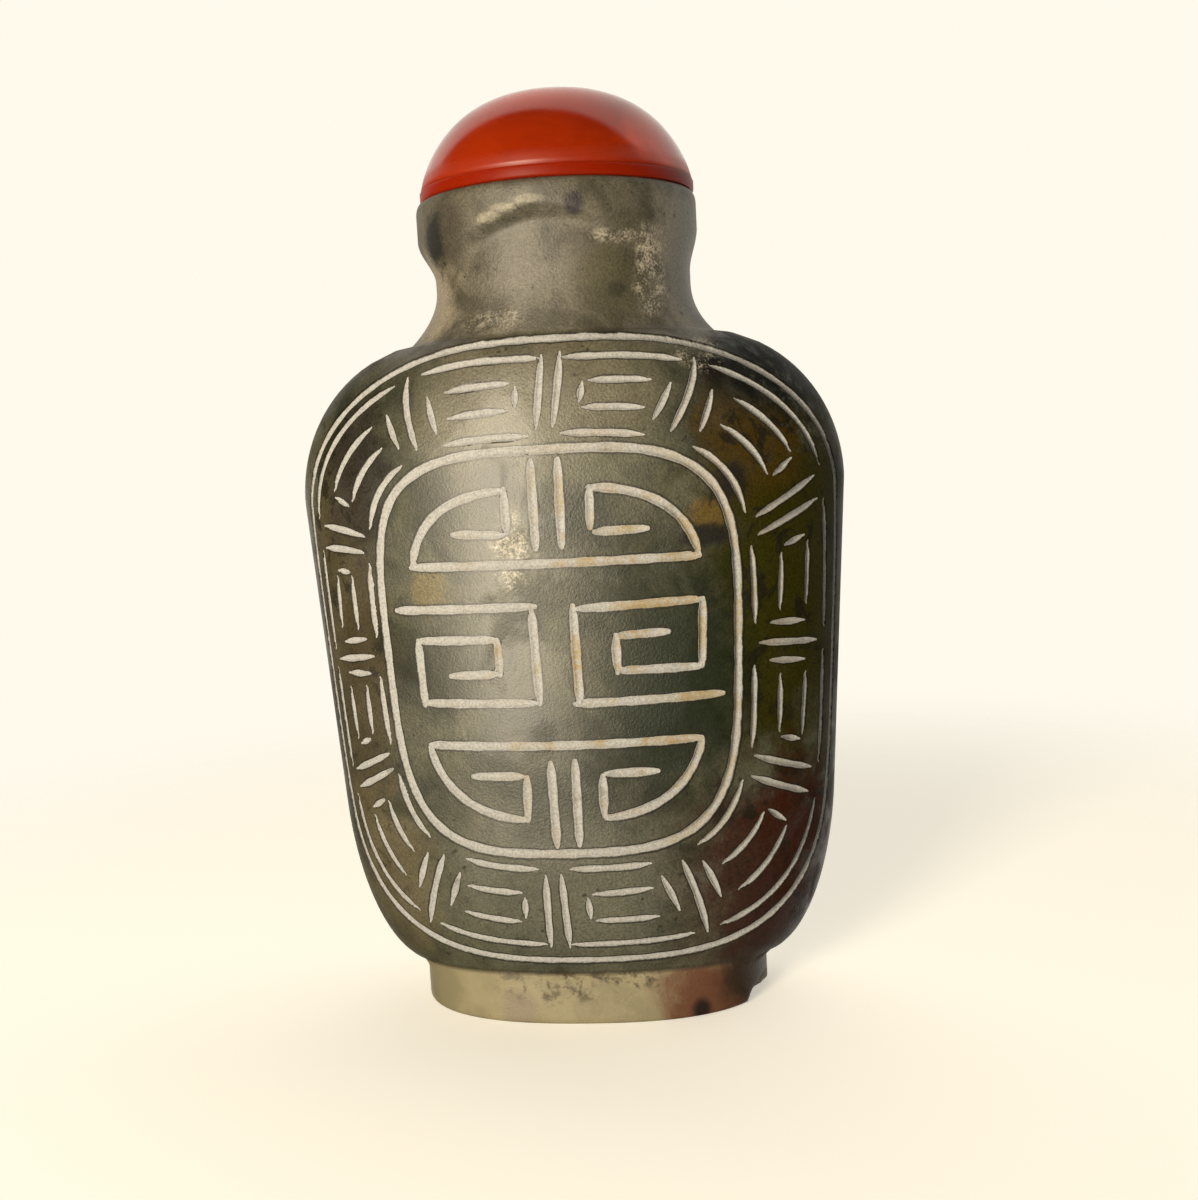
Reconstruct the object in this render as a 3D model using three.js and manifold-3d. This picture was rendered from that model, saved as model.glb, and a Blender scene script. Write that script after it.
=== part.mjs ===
// Snuff bottle of dark carved stone with a domed red stopper.
// Millimetres, +Z up, origin at the centre of the foot's underside, carved front towards -Y.
import * as THREE from 'three';
import { mergeVertices } from 'three/addons/utils/BufferGeometryUtils.js';
import Module from 'manifold-3d';

const wasm = await Module();
wasm.setup();

// Levels above the surface that the bottle stands on
const baseRecess = 0.9;
const footHeight = 2.7;
const footCove = 0.4;
const bodyWidestAt = 37.5;
const shoulderHeight = 10.8;
const baseCurveTop = 15;
const baseCurveHeight = 12;
const neckStart = 47.9;
const waistLevel = 51.8;
const collarLevel = 54.4;
const lipRoundingStart = 57.2;
const lipLevel = 58;
const totalHeight = 65.4;

// Half-sizes of the oval body: across the front, and from front to back
const bodyWidth = { widest: 19.7, taper: 0.066, shoulderIn: 10, baseIn: 4.4, neckFlare: 0.147 };
const bodyDepth = { widest: 11.8, taper: 0.04, shoulderIn: 2.6, baseIn: 3.8, neckFlare: 0.05 };
const foot = { halfWidth: 12.75, halfDepth: 8.1, squareness: 2.4, bevel: 0.45 };
const footRing = { width: 2.9, slope: 0.3 };

// Neck, ground slightly square at the waist, under a round collar
const waistRadius = 9.05;
const neckFillet = 0.5;
const neckFlareReach = 4.2;
const waistSquareness = 2.3;
const waistShift = 0.3;
const collarRadius = 9.98;
const collarBlend = { front: 1.2, side: 3 };
const collarArchFront = 0.9;
const collarArchCorner = 0.6;
const lipRadius = 9.6;

// Hollow inside and its mouth
const wallSide = 3.5;
const wallFace = 3.2;
const cavityFloor = 5.5;
const cavityTop = 44.9;
const cavityFloorIn = { width: 9, depth: 5 };
const mouthRadius = 3.9;

// Stopper: a dome on a thin band, with a plug that goes into the mouth
const stopperShift = 0.12;
const stopperBand = { radius: 9.75, height: 0.95, bevel: 0.25, crease: 0.12 };
const dome = { radius: 9.82, start: 57.8, fullness: 1.68, roundness: 2.62 };
const plug = { radius: 3.55, length: 5, bevel: 0.5 };

// Carved lines: loops around the border, and the short cuts between them
const lineHalfWidth = 0.46;
const cutHalfWidth = 0.35;
const lineDepth = 0.5;
const cutDepth = 0.42;
const cutterRise = 0.1;
const cutterRoof = 0.45;
const outerLine = { across: 0.65, level: 26.35, halfWidth: 20.85, halfHeight: 21.3, squareness: 3.75 };
const frameLine = { across: -0.3, level: 26.85, halfWidth: 12.5, halfHeight: 13.6, squareness: 3.7 };
const unrolled = { halfWidth: 19.2, halfDepth: 11.5 };
const fretUnits = 12;
const pairSpread = 0.07;

// Unevenness of the hand: how far the border's places have crept clockwise, in units, how far they
// lean on from there towards the outer line, and each cut's drift
const placeCreep = [0, 0, 0, 0, 0.07, 0.04, 0.19, 0.18, 0.06, 0, 0, -0.07];
const placeLean = [0, 0, 0, 0, -0.22, 0.12, 0.04, 0, 0.17, 0, -0.3, 0];
const handJitter = 0.22;

// One border unit as cuts between [share of the unit's length, share of the strip's width]
const fretUnit = {
  outerBar: [[0.1, 0.83], [0.92, 0.83]],
  outerMidBar: [[0.29, 0.61], [0.74, 0.61]],
  innerMidBar: [[0.29, 0.36], [0.74, 0.36]],
  innerBar: [[0.14, 0.13], [0.8, 0.13]],
  joiningBar: [[0.25, 0.4], [0.25, 0.58]],
  endBar: [[0.86, 0.6], [0.84, 0.26]],
};
const separatorReach = [0.18, 0.86];
const sideSeparatorEnd = 0.74;

// Medallion cuts from the frame's centre, as [across, up]; three points make a curved cut
const medallionBar = [[-9.8, 6.1], [9.8, 6.1]];
const medallionHook = {
  arc: [[9.7, 6.3], [8.6, 10.8], [2.8, 11.1]],
  upright: [[2.7, 11.1], [2.7, 8.3]],
  returnBar: [[2.9, 8.2], [6.5, 8.2]],
  stem: [[0.8, 7.2], [0.8, 13]],
};
const medallionSpiral = {
  inner: [[1.4, 3.3], [1.4, -3.2]],
  top: [[1.6, 3.2], [9.8, 3.2]],
  outer: [[9.9, 3.3], [9.9, -1.1]],
  turnBack: [[9.8, -1.2], [4.1, -1.2]],
  heart: [[4, -1.3], [4, 1.2]],
  heartBar: [[4.2, 1.2], [7.6, 1.2]],
  bottom: [[1.2, -3.3], [11.4, -3.3]],
};

// Chip along the lower edge at the right end of the foot
const chip = { halfSizes: [1.3, 2.8, 1.6], slant: -0.35, centre: [12.75, -2.4, -0.05] };

// Mesh fineness
const outsideSides = 36;
const insideSides = 20;
const stopperSides = 32;
const loopSteps = 34;
const cutStepLength = 6;
const shortCut = 3.4;

const jade = new THREE.MeshStandardMaterial({ color: 0x58594a, roughness: 0.35, metalness: 0 });
const redGlass = new THREE.MeshStandardMaterial({ color: 0xb03a10, roughness: 0.08, metalness: 0 });

function clamp(value, low, high) {
  return Math.min(Math.max(value, low), high);
}

function smoothStep(value) {
  const t = clamp(value, 0, 1);
  return t * t * (3 - 2 * t);
}

function quarterRound(run) {
  return Math.sqrt(1 - clamp(run, 0, 1) ** 2);
}

// The same number between 0 and 1 for the same seed, to give each cut a hand-made drift
function drift(seed) {
  const wave = Math.sin(seed * 12.9898) * 43758.5453;
  return wave - Math.floor(wave);
}

// Half-size of the body at a height: a tapering flank with a rounded shoulder and base
function bodyHalf(level, size) {
  const aboveWidest = (level - bodyWidestAt) / (size.shoulderHeight ?? shoulderHeight);
  const belowBase = (baseCurveTop - level) / (size.baseHeight ?? baseCurveHeight);
  const flank = size.widest - size.taper * Math.max(bodyWidestAt - level, 0);
  const shoulderCut = size.shoulderIn * (1 - quarterRound(aboveWidest));
  return flank - shoulderCut - size.baseIn * (1 - quarterRound(belowBase));
}

function neckHalf(level, size) {
  const below = clamp(waistLevel - level, 0, neckFlareReach);
  const inBody = Math.max(waistLevel - level - neckFlareReach, 0);
  return waistRadius + size.neckFlare * below ** 2 - inBody ** 2;
}

// Half-size of the whole outside: the larger of body and neck, with a hollow curve where they meet
function outsideHalf(level, size) {
  const body = bodyHalf(level, size) - 20 * Math.max(level - neckStart, 0) ** 2;
  const neck = neckHalf(level, size);
  const share = clamp(0.5 + (body - neck) / (2 * neckFillet), 0, 1);
  return neck + (body - neck) * share + neckFillet * share * (1 - share);
}

function ovalPoint(turn, halfWidth, halfDepth, squareness) {
  const power = 2 / squareness;
  const x = halfWidth * Math.sign(Math.sin(turn)) * Math.abs(Math.sin(turn)) ** power;
  const y = -halfDepth * Math.sign(Math.cos(turn)) * Math.abs(Math.cos(turn)) ** power;
  return [x, y];
}

// Distance from the axis as a share of the way to the foot's wall
function footShare([x, y]) {
  const across = (Math.abs(x) / foot.halfWidth) ** foot.squareness;
  const deep = (Math.abs(y) / foot.halfDepth) ** foot.squareness;
  return (across + deep) ** (1 / foot.squareness);
}

// Outside of the bottle above the foot, at a turn from the front and a height
function skinPoint(turn, level) {
  const inNeck = smoothStep((level - neckStart) / (waistLevel - neckStart));
  const squareness = 2 + (waistSquareness - 2) * inNeck;
  const oval = ovalPoint(turn, outsideHalf(level, bodyWidth), outsideHalf(level, bodyDepth), squareness);
  const outToFoot = level < baseCurveTop ? Math.max(1, 1 / footShare(oval)) : 1;
  const waist = [oval[0] * outToFoot + waistShift * inNeck, oval[1] * outToFoot];
  const edge = collarLevel + collarArchFront * Math.cos(2 * turn) + collarArchCorner * Math.cos(4 * turn);
  const blend = collarBlend.front + (collarBlend.side - collarBlend.front) * Math.sin(turn) ** 2;
  const inCollar = smoothStep((level - edge) / blend + 0.5);
  const lipFall = quarterRound((level - lipRoundingStart) / (lipLevel - lipRoundingStart));
  const collar = ovalPoint(turn, lipRadius + (collarRadius - lipRadius) * lipFall,
    lipRadius + (collarRadius - lipRadius) * lipFall, 2);
  return [waist[0] + (collar[0] - waist[0]) * inCollar, waist[1] + (collar[1] - waist[1]) * inCollar, level];
}

// A closed solid of stacked rings, given as functions of the turn, between two points on the axis
function ringSolid(bottom, rings, top, sides) {
  const rows = [() => [0, 0, bottom], ...rings, () => [0, 0, top]];
  const profile = rows.map((row, i) => new THREE.Vector2(i === 0 || i === rows.length - 1 ? 0 : 1, i));
  const geometry = new THREE.LatheGeometry(profile, sides);
  const position = geometry.attributes.position;
  for (let i = 0; i < position.count; i += 1) {
    const turn = (Math.floor(i / rows.length) % sides) * 2 * Math.PI / sides;
    position.setXYZ(i, ...rows[i % rows.length](turn));
  }
  return geometry;
}

function toSolid(geometry) {
  geometry.deleteAttribute('normal');
  geometry.deleteAttribute('uv');
  const merged = mergeVertices(geometry, 1e-4);
  const corners = [];
  for (let i = 0; i < merged.index.count; i += 3) {
    const [a, b, c] = [0, 1, 2].map((k) => merged.index.getX(i + k));
    if (a !== b && b !== c && c !== a) {
      corners.push(a, b, c);
    }
  }
  return new wasm.Manifold(new wasm.Mesh({
    numProp: 3,
    vertProperties: Float32Array.from(merged.attributes.position.array),
    triVerts: Uint32Array.from(corners),
  }));
}

function toGeometry(solid) {
  const mesh = solid.getMesh();
  const geometry = new THREE.BufferGeometry();
  geometry.setAttribute('position', new THREE.BufferAttribute(Float32Array.from(mesh.vertProperties), 3));
  geometry.setIndex(Array.from(mesh.triVerts));
  geometry.computeVertexNormals();
  return geometry;
}

function levels(from, to, count) {
  return Array.from({ length: count }, (_, i) => from + (to - from) * i / count);
}

function ovalRing(halfWidth, halfDepth, level, squareness = 2) {
  return (turn) => [...ovalPoint(turn, halfWidth, halfDepth, squareness), level];
}

function outsideSolid() {
  const { halfWidth, halfDepth, squareness, bevel } = foot;
  const footRings = [
    [footRing.width + footRing.slope, baseRecess],
    [footRing.width, 0],
    [bevel, 0],
    [0, bevel],
    [0, footHeight],
  ].map(([inset, level]) => ovalRing(halfWidth - inset, halfDepth - inset, level, squareness));
  const firstBaseLevel = footHeight + footCove;
  const baseAngles = levels(Math.asin((baseCurveTop - firstBaseLevel) / baseCurveHeight), 0, 5);
  const shoulderAngles = levels(0, Math.asin((neckStart - bodyWidestAt) / shoulderHeight), 6);
  const skinLevels = [
    ...baseAngles.map((angle) => baseCurveTop - baseCurveHeight * Math.sin(angle)),
    ...levels(baseCurveTop, bodyWidestAt, 3),
    ...shoulderAngles.map((angle) => bodyWidestAt + shoulderHeight * Math.sin(angle)),
    ...[0, 0.4, 1.7].map((rise) => neckStart + rise),
    ...levels(waistLevel, lipRoundingStart, 5),
    lipRoundingStart,
    lipLevel,
  ];
  const skinRings = skinLevels.map((level) => (turn) => skinPoint(turn, level));
  return toSolid(ringSolid(baseRecess, [...footRings, ...skinRings], lipLevel, outsideSides));
}

// The hollow, as a solid that stands for the empty space from the floor out through the mouth
function insideSolid() {
  const baseHeight = baseCurveTop - cavityFloor;
  const insideShoulder = cavityTop - bodyWidestAt;
  const halfOf = (size, wall, floorIn) => ({
    widest: size.widest - wall,
    taper: size.taper,
    shoulderIn: size.widest - wall - mouthRadius,
    shoulderHeight: insideShoulder,
    baseIn: floorIn,
    baseHeight,
  });
  const width = halfOf(bodyWidth, wallSide, cavityFloorIn.width);
  const depth = halfOf(bodyDepth, wallFace, cavityFloorIn.depth);
  const quarter = Math.PI / 2;
  const cavityLevels = [
    ...levels(quarter, 0, 5).map((angle) => baseCurveTop - baseHeight * Math.sin(angle)),
    ...levels(baseCurveTop, bodyWidestAt, 3),
    ...levels(0, quarter, 5).map((angle) => bodyWidestAt + insideShoulder * Math.sin(angle)),
    cavityTop,
  ];
  const rings = cavityLevels.map((level) => ovalRing(bodyHalf(level, width), bodyHalf(level, depth), level));
  const aboveLip = lipLevel + 1;
  rings.push(ovalRing(mouthRadius, mouthRadius, aboveLip));
  return toSolid(ringSolid(cavityFloor, rings, aboveLip, insideSides));
}

// Turn from the front for a distance along the unrolled body, found by walking round its oval
const walkStep = 0.0005;
const walkedLengths = [0];
for (let turn = 0; turn < Math.PI / 2; turn += walkStep) {
  const pace = Math.hypot(unrolled.halfWidth * Math.cos(turn), unrolled.halfDepth * Math.sin(turn));
  walkedLengths.push(walkedLengths.at(-1) + pace * walkStep);
}

function turnAt(across) {
  const steps = walkedLengths.findIndex((length) => length >= Math.abs(across));
  return Math.sign(across) * (steps < 0 ? walkedLengths.length : steps) * walkStep;
}

// A point of the pattern on the body, with the directions along, out of and across the surface
function surfaceFrame(path, t, onBack) {
  const turnOf = (across) => (onBack ? Math.PI - turnAt(across) : turnAt(across));
  const at = (u) => {
    const [across, level] = path(u);
    return new THREE.Vector3(...skinPoint(turnOf(across), level));
  };
  const nudge = 0.01;
  const point = at(t);
  const along = at(t + nudge).sub(at(t - nudge)).normalize();
  const [across, level] = path(t);
  const turn = turnOf(across);
  const side = new THREE.Vector3(...skinPoint(turn + nudge, level)).sub(point);
  const up = new THREE.Vector3(...skinPoint(turn, level + nudge)).sub(point);
  const out = side.cross(up).normalize();
  return { point, out, beside: new THREE.Vector3().crossVectors(along, out).normalize() };
}

// One corner of a groove's four-sided section: right edge, roof, left edge, bottom
function sectionCorner(frame, corner, halfWidth, depth) {
  const spread = halfWidth * (depth + cutterRise) / depth;
  const sideways = [spread, 0, -spread, 0][corner];
  const height = [cutterRise, cutterRoof, cutterRise, -depth][corner];
  return frame.point.clone().addScaledVector(frame.beside, sideways).addScaledVector(frame.out, height);
}

// A boat-shaped cut with pointed ends: a four-sided spindle bent along its path
function cutSolid(path) {
  const ends = [path(0), path(1)];
  const length = Math.hypot(ends[1][0] - ends[0][0], ends[1][1] - ends[0][1]);
  const steps = Math.ceil(length / cutStepLength) + (length > shortCut ? 2 : 1);
  const geometry = new THREE.SphereGeometry(1, 4, steps);
  const position = geometry.attributes.position;
  const rowLength = 5;
  for (let i = 0; i < position.count; i += 1) {
    const row = Math.floor(i / rowLength);
    const frame = surfaceFrame(path, (1 - Math.cos(Math.PI * row / steps)) / 2, false);
    const atTip = row === 0 || row === steps;
    const halfWidth = atTip ? 0 : cutHalfWidth;
    const point = sectionCorner(frame, atTip ? 0 : (i % rowLength) % 4, halfWidth, cutDepth);
    position.setXYZ(i, point.x, point.y, point.z);
  }
  return toSolid(geometry);
}

// A closed line: a four-sided ring laid round the pattern
function lineSolid(line, onBack) {
  const geometry = new THREE.TorusGeometry(1, 0.1, 4, loopSteps);
  const position = geometry.attributes.position;
  const rowLength = loopSteps + 1;
  const path = (t) => loopPoint(line, t * 2 * Math.PI);
  for (let i = 0; i < position.count; i += 1) {
    const corner = Math.floor(i / rowLength) % 4;
    const frame = surfaceFrame(path, ((i % rowLength) % loopSteps) / loopSteps, onBack);
    const point = sectionCorner(frame, corner, lineHalfWidth, lineDepth);
    position.setXYZ(i, point.x, point.y, point.z);
  }
  return toSolid(geometry);
}

// Point of a closed line at an angle round its centre, as [across, level]
function loopPoint({ across, level, halfWidth, halfHeight, squareness }, angle) {
  const wide = (Math.abs(Math.cos(angle)) / halfWidth) ** squareness;
  const tall = (Math.abs(Math.sin(angle)) / halfHeight) ** squareness;
  const reach = (wide + tall) ** (-1 / squareness);
  return [across + reach * Math.cos(angle), level + reach * Math.sin(angle)];
}

function atPlace(values, place) {
  const low = Math.floor(place);
  const [before, after] = [low, low + 1].map((i) => values[(i + fretUnits) % fretUnits]);
  return before + (after - before) * (place - low);
}

// Point of the border strip: places are counted clockwise from the top, rise goes from frame to outer line
function stripPoint(place, rise) {
  const moved = place + atPlace(placeCreep, place) + atPlace(placeLean, place) * (rise - separatorReach[0]);
  const angle = Math.PI / 2 - moved * 2 * Math.PI / fretUnits;
  const inner = loopPoint(frameLine, angle);
  const outer = loopPoint(outerLine, angle);
  return [0, 1].map((axis) => inner[axis] + (outer[axis] - inner[axis]) * rise);
}

function stripCut([place, rise], [endPlace, endRise]) {
  return (t) => stripPoint(place + (endPlace - place) * t, rise + (endRise - rise) * t);
}

// Cuts between the border's units: two side by side at even places, one at odd places
function separatorCuts() {
  const cuts = [];
  for (let place = 0; place < fretUnits; place += 1) {
    const offsets = place % 2 === 0 ? [-pairSpread, pairSpread] : [0];
    const awayFromSide = Math.abs(place % (fretUnits / 2) - fretUnits / 4);
    const end = awayFromSide <= 1 ? sideSeparatorEnd : separatorReach[1];
    offsets.forEach((offset) => {
      cuts.push(stripCut([place + offset, separatorReach[0]], [place + offset, end]));
    });
  }
  return cuts;
}

// Squared-spiral units of the border, each the mirror of the one before
function fretCuts() {
  const cuts = [];
  for (let unit = 0; unit < fretUnits; unit += 1) {
    const mirrored = unit % 2 === 1;
    const placeOf = (share) => unit + (mirrored ? 1 - share : share);
    Object.values(fretUnit).forEach(([start, end]) => {
      cuts.push(stripCut([placeOf(start[0]), start[1]], [placeOf(end[0]), end[1]]));
    });
  }
  return cuts;
}

function medallionCut(points, flipAcross, flipLevel) {
  const placed = points.map(([across, level]) => new THREE.Vector2(
    frameLine.across + flipAcross * across, frameLine.level + flipLevel * level));
  const isStraight = placed.length === 2;
  const curve = isStraight ? new THREE.LineCurve(...placed) : new THREE.QuadraticBezierCurve(...placed);
  return (t) => {
    const point = curve.getPoint(t);
    return [point.x, point.y];
  };
}

// Fret medallion: hooked arcs above and below, and two squared spirals that turn into each other
function medallionCuts() {
  const cuts = [];
  [1, -1].forEach((flip) => {
    Object.values(medallionHook).forEach((points) => {
      cuts.push(medallionCut(points, 1, flip), medallionCut(points, -1, flip));
    });
    cuts.push(medallionCut(medallionBar, flip, flip));
    Object.values(medallionSpiral).forEach((points) => cuts.push(medallionCut(points, flip, flip)));
  });
  return cuts;
}

// Every cut wanders a little at both ends, as one made by hand does
function handMade(path, seed) {
  const sway = [0, 1, 2, 3].map((k) => (drift(seed * 4 + k) - 0.5) * handJitter);
  return (t) => {
    const [across, level] = path(t);
    return [across + sway[0] + (sway[1] - sway[0]) * t, level + sway[2] + (sway[3] - sway[2]) * t];
  };
}

function chipSolid() {
  const geometry = new THREE.IcosahedronGeometry(1);
  geometry.scale(...chip.halfSizes);
  geometry.rotateZ(chip.slant);
  geometry.translate(...chip.centre);
  return toSolid(geometry);
}

function bottleSolid() {
  const frontCuts = [...separatorCuts(), ...fretCuts(), ...medallionCuts()];
  let solid = outsideSolid().subtract(insideSolid()).subtract(chipSolid());
  [outerLine, frameLine].forEach((line) => {
    solid = solid.subtract(lineSolid(line, false)).subtract(lineSolid(line, true));
  });
  frontCuts.forEach((path, i) => {
    solid = solid.subtract(cutSolid(handMade(path, i + 1)));
  });
  return solid;
}

function stopperSolid() {
  const { radius, height, bevel, crease } = stopperBand;
  const bandTop = lipLevel + height;
  const domeRise = totalHeight - dome.start;
  const firstShare = (bandTop - dome.start) / domeRise;
  const domeRings = levels(0, Math.PI / 2, 8).map((angle) => {
    const share = firstShare + (1 - firstShare) * Math.sin(angle);
    const ringRadius = dome.radius * (1 - share ** dome.fullness) ** (1 / dome.roundness);
    return [ringRadius, dome.start + domeRise * share];
  });
  const rings = [
    [plug.radius - plug.bevel, lipLevel - plug.length],
    [plug.radius, lipLevel - plug.length + plug.bevel],
    [plug.radius, lipLevel],
    [radius - bevel, lipLevel],
    [radius, lipLevel + bevel],
    [radius, bandTop - crease],
    ...domeRings,
  ].map(([ringRadius, level]) => ovalRing(ringRadius, ringRadius, level));
  return toSolid(ringSolid(lipLevel - plug.length, rings, totalHeight, stopperSides));
}

function namedMesh(name, solid, material) {
  const mesh = new THREE.Mesh(toGeometry(solid), material);
  mesh.name = name;
  return mesh;
}

const bottle = namedMesh('bottle', bottleSolid(), jade);
const stopper = namedMesh('stopper', stopperSolid(), redGlass);
stopper.position.x = stopperShift;

const snuffBottle = new THREE.Group();
snuffBottle.name = 'snuff_bottle';
snuffBottle.add(bottle, stopper);

export default snuffBottle;
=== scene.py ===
import math

import bmesh
import bpy
import numpy as np
from mathutils import Matrix, Vector, geometry


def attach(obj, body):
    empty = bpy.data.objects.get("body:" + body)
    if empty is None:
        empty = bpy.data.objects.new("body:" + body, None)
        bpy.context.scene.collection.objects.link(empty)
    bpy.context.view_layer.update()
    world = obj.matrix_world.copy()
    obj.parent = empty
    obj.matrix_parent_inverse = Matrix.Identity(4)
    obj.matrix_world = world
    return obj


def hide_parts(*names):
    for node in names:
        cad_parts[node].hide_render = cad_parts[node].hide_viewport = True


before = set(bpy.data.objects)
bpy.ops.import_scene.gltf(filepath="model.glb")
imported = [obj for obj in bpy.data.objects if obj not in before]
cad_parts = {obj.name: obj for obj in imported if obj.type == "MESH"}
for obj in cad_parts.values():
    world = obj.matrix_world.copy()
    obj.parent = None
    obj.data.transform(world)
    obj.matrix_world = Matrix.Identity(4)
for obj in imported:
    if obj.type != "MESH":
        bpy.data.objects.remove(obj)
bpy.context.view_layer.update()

mm = 0.001
scene = bpy.context.scene


# Small helpers for node trees

def addNode(tree, kind, settings=None, **values):
    node = tree.nodes.new(kind)
    for name, value in (settings or {}).items():
        setattr(node, name, value)
    for name, value in values.items():
        feed(tree, value, socketOf(node, name))
    return node


def socketOf(node, name):
    if name.startswith("slot"):  # slot0, slot1 ... count the sockets where names repeat
        return node.inputs[int(name[4:])]
    wanted = name.lower()
    return next(s for s in node.inputs if s.enabled and s.name.replace(" ", "").lower() == wanted)


def feed(tree, value, socket):
    if isinstance(value, bpy.types.NodeSocket):
        tree.links.new(value, socket)
    else:
        socket.default_value = value


def maths(tree, operation, first, second=0.0, third=0.0):
    node = addNode(tree, "ShaderNodeMath", {"operation": operation})
    for value, socket in zip((first, second, third), node.inputs):
        feed(tree, value, socket)
    return node.outputs[0]


def spread(tree, value, low, high, toLow=0.0, toHigh=1.0, smooth=True):
    kind = "SMOOTHSTEP" if smooth else "LINEAR"
    node = addNode(tree, "ShaderNodeMapRange", {"interpolation_type": kind, "clamp": True})
    for given, index in ((value, 0), (low, 1), (high, 2), (toLow, 3), (toHigh, 4)):
        feed(tree, given, node.inputs[index])
    return node.outputs[0]


def blendColour(tree, factor, under, over, mode="MIX"):
    node = addNode(tree, "ShaderNodeMix", {"data_type": "RGBA", "blend_type": mode})
    feed(tree, factor, node.inputs[0])
    for colour, index in ((under, 6), (over, 7)):
        feed(tree, (*colour, 1.0) if isinstance(colour, tuple) else colour, node.inputs[index])
    return node.outputs[2]


def noiseAt(tree, place, scale, detail=4.0, rough=0.55, warp=0.0):
    node = addNode(tree, "ShaderNodeTexNoise", vector=place, scale=scale, detail=detail,
                   roughness=rough, distortion=warp)
    return node.outputs["Fac"]


# Bottle: sizes in millimetres, from the foot up

bottleForm = {
    "baseRecess": 0.9, "footHeight": 2.7, "footCove": 0.4,
    "widestAt": 37.5, "shoulderHeight": 10.8, "baseTop": 15.0, "baseHeight": 12.0,
    "width": {"widest": 19.7, "taper": 0.066, "shoulderIn": 10.0, "baseIn": 4.4, "flare": 0.147},
    "depth": {"widest": 11.8, "taper": 0.04, "shoulderIn": 2.6, "baseIn": 3.8, "flare": 0.05},
    "footHalf": (12.75, 8.1), "footSquareness": 2.4, "footBevel": 0.45,
    "footRing": 2.9, "recessSlope": 0.3,
    "neckStart": 47.9, "waistLevel": 51.8, "waistRadius": 9.05, "waistSquareness": 2.3,
    "waistShift": 0.3, "neckFillet": 0.5, "flareReach": 4.2, "bodyFall": 20,
    "collarLevel": 54.4, "collarRadius": 9.98, "collarBlend": (1.2, 3.0),   # at the front, at the sides
    "archFront": 0.9, "archCorner": 0.6,
    "lipStart": 57.2, "lipLevel": 58.0, "lipRadius": 9.6,
    "wallSide": 3.5, "wallFace": 3.2, "cavityFloor": 5.5, "cavityTop": 44.9, "floorIn": (9.0, 5.0),
    "mouthRadius": 3.9, "mouthBevel": 0.3,
    "chipHalf": (1.3, 2.8, 1.6), "chipSlant": -0.35, "chipCentre": (12.75, -2.4, -0.05),
    "chipWay": (-0.85, 0.2, 0.5),
    "unrolled": (19.2, 11.5),   # half sizes of the oval that the carving is laid out on
    "columns": 192, "skinGap": 0.5,
}


def smoothStep(value):
    t = np.clip(value, 0, 1)
    return t * t * (3 - 2 * t)


def quarterRound(run):
    return np.sqrt(1 - np.clip(run, 0, 1) ** 2)


def bodyHalf(level, size):
    form = bottleForm
    above = (level - form["widestAt"]) / size.get("shoulderHeight", form["shoulderHeight"])
    below = (form["baseTop"] - level) / size.get("baseHeight", form["baseHeight"])
    flank = size["widest"] - size["taper"] * np.maximum(form["widestAt"] - level, 0)
    shoulderFall = size["shoulderIn"] * (1 - quarterRound(above))
    return flank - shoulderFall - size["baseIn"] * (1 - quarterRound(below))


def ovalPoint(turn, halfWidth, halfDepth, squareness=2.0):
    power = 2 / squareness
    x = halfWidth * np.sign(np.sin(turn)) * np.abs(np.sin(turn)) ** power
    y = -halfDepth * np.sign(np.cos(turn)) * np.abs(np.cos(turn)) ** power
    return x, y


def outsideHalf(level, size):
    # the larger of body and neck, with a hollow curve where they meet
    form = bottleForm
    drop = form["waistLevel"] - level
    inBody = np.maximum(drop - form["flareReach"], 0)
    neck = form["waistRadius"] + size["flare"] * np.clip(drop, 0, form["flareReach"]) ** 2 - inBody ** 2
    body = bodyHalf(level, size) - form["bodyFall"] * np.maximum(level - form["neckStart"], 0) ** 2
    share = np.clip(0.5 + (body - neck) / (2 * form["neckFillet"]), 0, 1)
    return neck + (body - neck) * share + form["neckFillet"] * share * (1 - share)


def footShare(x, y):
    # distance from the axis as a share of the way to the foot's wall
    wide, deep = bottleForm["footHalf"]
    power = bottleForm["footSquareness"]
    return (np.abs(x / wide) ** power + np.abs(y / deep) ** power) ** (1 / power)


def skinPoint(turn, level):
    form = bottleForm
    turn, level = np.broadcast_arrays(np.asarray(turn, float), np.asarray(level, float))
    inNeck = smoothStep((level - form["neckStart"]) / (form["waistLevel"] - form["neckStart"]))
    square = 2 + (form["waistSquareness"] - 2) * inNeck
    halfWidth, halfDepth = outsideHalf(level, form["width"]), outsideHalf(level, form["depth"])
    ovalX, ovalY = ovalPoint(turn, halfWidth, halfDepth, square)
    outToFoot = np.where(level < form["baseTop"], np.maximum(1, 1 / footShare(ovalX, ovalY)), 1)
    waistX, waistY = ovalX * outToFoot + form["waistShift"] * inNeck, ovalY * outToFoot
    arch = form["archFront"] * np.cos(2 * turn) + form["archCorner"] * np.cos(4 * turn)
    edge = form["collarLevel"] + arch
    front, side = form["collarBlend"]
    inCollar = smoothStep((level - edge) / (front + (side - front) * np.sin(turn) ** 2) + 0.5)
    lipFall = quarterRound((level - form["lipStart"]) / (form["lipLevel"] - form["lipStart"]))
    reach = form["lipRadius"] + (form["collarRadius"] - form["lipRadius"]) * lipFall
    collarX, collarY = ovalPoint(turn, reach, reach)
    x, y = waistX + (collarX - waistX) * inCollar, waistY + (collarY - waistY) * inCollar
    return np.stack([x, y, level], -1)


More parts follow.
